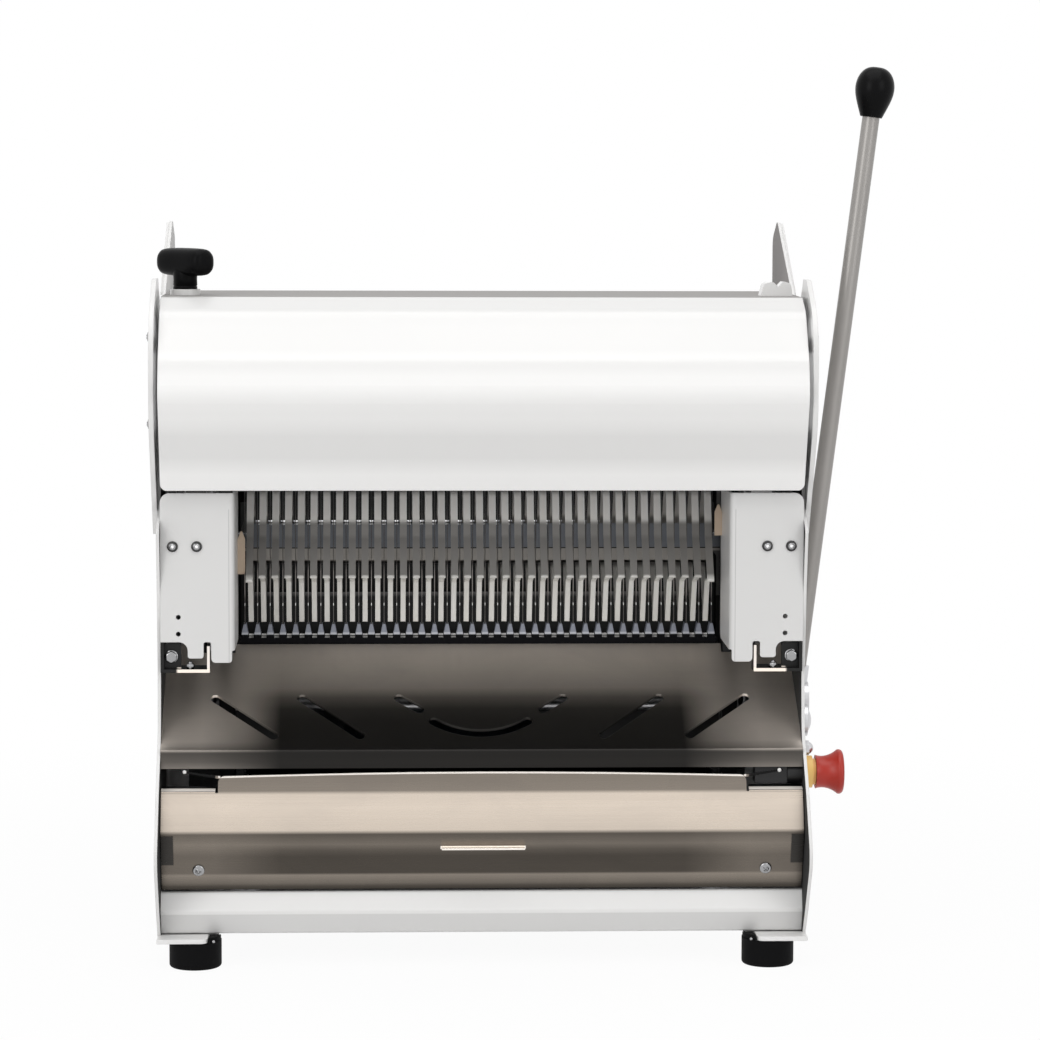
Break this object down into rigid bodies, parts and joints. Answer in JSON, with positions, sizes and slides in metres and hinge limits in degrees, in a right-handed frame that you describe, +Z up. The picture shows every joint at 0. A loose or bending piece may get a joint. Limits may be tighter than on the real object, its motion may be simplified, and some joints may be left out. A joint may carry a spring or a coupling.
{
  "type": "bench bread slicer",
  "caption": "Motor-driven bench bread slicer with counter-moving toothed blade frames, a lever-fed pusher comb, tilting hood, slotted outfeed table and crumb tray.",
  "frame": {"origin": "centre of the four feet on the bench plane", "axes": "+X to the operator's right, +Y away from the operator towards the back, +Z up"},
  "size_m": [0.7114, 0.6067, 0.8302],
  "materials": {
    "white_paint": "smooth semi-gloss powder coat",
    "zinc": "zinc plated",
    "black_rubber": "matt black",
    "black_plastic": "polished black",
    "strip": "smooth pale wood",
    "dark_stainless": "brushed, dark reflections",
    "bright_steel": "ground bright",
    "guide_plastic": "machined plastic",
    "cast_aluminium": "machined",
    "blade_steel": "ground, toothed edge",
    "belt_rubber": "matt black",
    "motor_paint": "grey enamel",
    "lever_steel": "satin grey",
    "signal_yellow": "satin yellow",
    "signal_red": "satin red"
  },
  "bodies": {
    "base": {"side_frame_left": "white_paint", "side_frame_right": "white_paint", "side_cover_left": "white_paint", "side_cover_right": "white_paint", "fasteners": "zinc", "feet": "black_rubber", "bottom_pan": "white_paint", "front_beam": "white_paint", "rear_cover": "white_paint", "hood_pins": "zinc", "clamp_bracket": "white_paint", "cheek_left": "white_paint", "cheek_right": "white_paint", "cheek_brackets": "zinc", "throat_strips": "strip", "outfeed_table": "dark_stainless", "tray_runners": "zinc", "hopper_floor": "bright_steel", "hopper_wall_left": "bright_steel", "hopper_wall_right": "bright_steel", "lower_blade_guide": "guide_plastic", "upper_blade_guide": "guide_plastic", "guide_rods": "zinc", "guide_brackets": "cast_aluminium", "crank_bearings": "cast_aluminium", "drive_belt": "belt_rubber", "motor": "motor_paint", "motor_bracket": "zinc", "power_inlet": "black_plastic", "pusher_rails": "zinc", "rail_clamps": "cast_aluminium", "shaft_bearings": "cast_aluminium", "stop_base": "signal_yellow", "stop_contact": "black_plastic", "side_fittings": "zinc"},
    "hood": {"hood": "white_paint", "hood_lugs": "white_paint", "hood_hinges": "zinc"},
    "clamp": {"clamp_knob": "black_plastic", "clamp_screw": "zinc"},
    "pusher": {"pusher_comb": "bright_steel", "pusher_bar": "bright_steel", "pusher_carriages": "cast_aluminium", "carriage_rollers": "zinc"},
    "lever": {"cross_shaft": "zinc", "lever_hub": "zinc", "lever_rod": "lever_steel", "lever_knob": "black_plastic"},
    "blade_frame_a": {"blade_frame_front": "cast_aluminium", "blades_front": "blade_steel"},
    "blade_frame_b": {"blade_frame_rear": "cast_aluminium", "blades_rear": "blade_steel"},
    "rocker": {"rocker": "zinc"},
    "connecting_rod": {"connecting_rod": "cast_aluminium"},
    "crank": {"crank_shaft": "zinc", "crank_pulley": "cast_aluminium"},
    "motor_pulley": {"motor_pulley": "cast_aluminium"},
    "crumb_tray": {"crumb_tray": "dark_stainless", "tray_screws": "zinc"},
    "stop_button": {"stop_button": "signal_red"}
  },
  "joints": [
    {"name": "hood_hinge", "type": "hinge", "parent": "base", "child": "hood", "pos_m": [0, -0.042, 0.602], "axis": [1, 0, 0], "range_deg": [-70, 0]},
    {"name": "clamp_turn", "type": "hinge", "parent": "hood", "child": "clamp", "pos_m": [-0.274, -0.16, 0.62], "axis": [0, 0, 1], "range_deg": [0, 180]},
    {"name": "lever_swing", "type": "hinge", "parent": "base", "child": "lever", "pos_m": [0, 0, 0.212], "axis": [1, 0, 0], "range_deg": [-55, 0]},
    {"name": "pusher_slide", "type": "slide", "parent": "base", "child": "pusher", "axis": [0, 1, 0], "range_m": [0, 0.26048]},
    {"name": "rocker_swing", "type": "hinge", "parent": "base", "child": "rocker", "pos_m": [0, -0.092, 0.062], "axis": [1, 0, 0], "range_deg": [-14, 14]},
    {"name": "front_frame_slide", "type": "slide", "parent": "base", "child": "blade_frame_a", "axis": [0, 0, 1], "range_m": [-0.0098, 0.0098]},
    {"name": "rear_frame_slide", "type": "slide", "parent": "base", "child": "blade_frame_b", "axis": [0, 0, 1], "range_m": [-0.0098, 0.0098]},
    {"name": "rod_pivot", "type": "hinge", "parent": "rocker", "child": "connecting_rod", "pos_m": [-0.084, -0.012, 0.062], "axis": [1, 0, 0], "range_deg": [-15, 15]},
    {"name": "crank_spin", "type": "hinge", "parent": "base", "child": "crank", "pos_m": [-0.13, 0.00735, 0.12], "axis": [1, 0, 0], "continuous": true},
    {"name": "motor_spin", "type": "hinge", "parent": "base", "child": "motor_pulley", "pos_m": [-0.16, 0.175, 0.118], "axis": [1, 0, 0], "continuous": true},
    {"name": "tray_slide", "type": "slide", "parent": "base", "child": "crumb_tray", "axis": [0, -1, 0], "range_m": [0, 0.16]},
    {"name": "stop_press", "type": "slide", "parent": "base", "child": "stop_button", "axis": [-1, 0, 0], "range_m": [0, 0.003], "stiffness_N_per_m": 400}
  ],
  "couplings": [
    {"joint": "pusher_slide", "follows": "lever_swing", "m_per_rad": -0.27115},
    {"joint": "front_frame_slide", "follows": "rocker_swing", "m_per_rad": -0.04},
    {"joint": "rear_frame_slide", "follows": "rocker_swing", "m_per_rad": 0.04},
    {"joint": "rod_pivot", "follows": "rocker_swing", "ratio": -1},
    {"joint": "motor_spin", "follows": "crank_spin", "ratio": 2.1667}
  ]
}
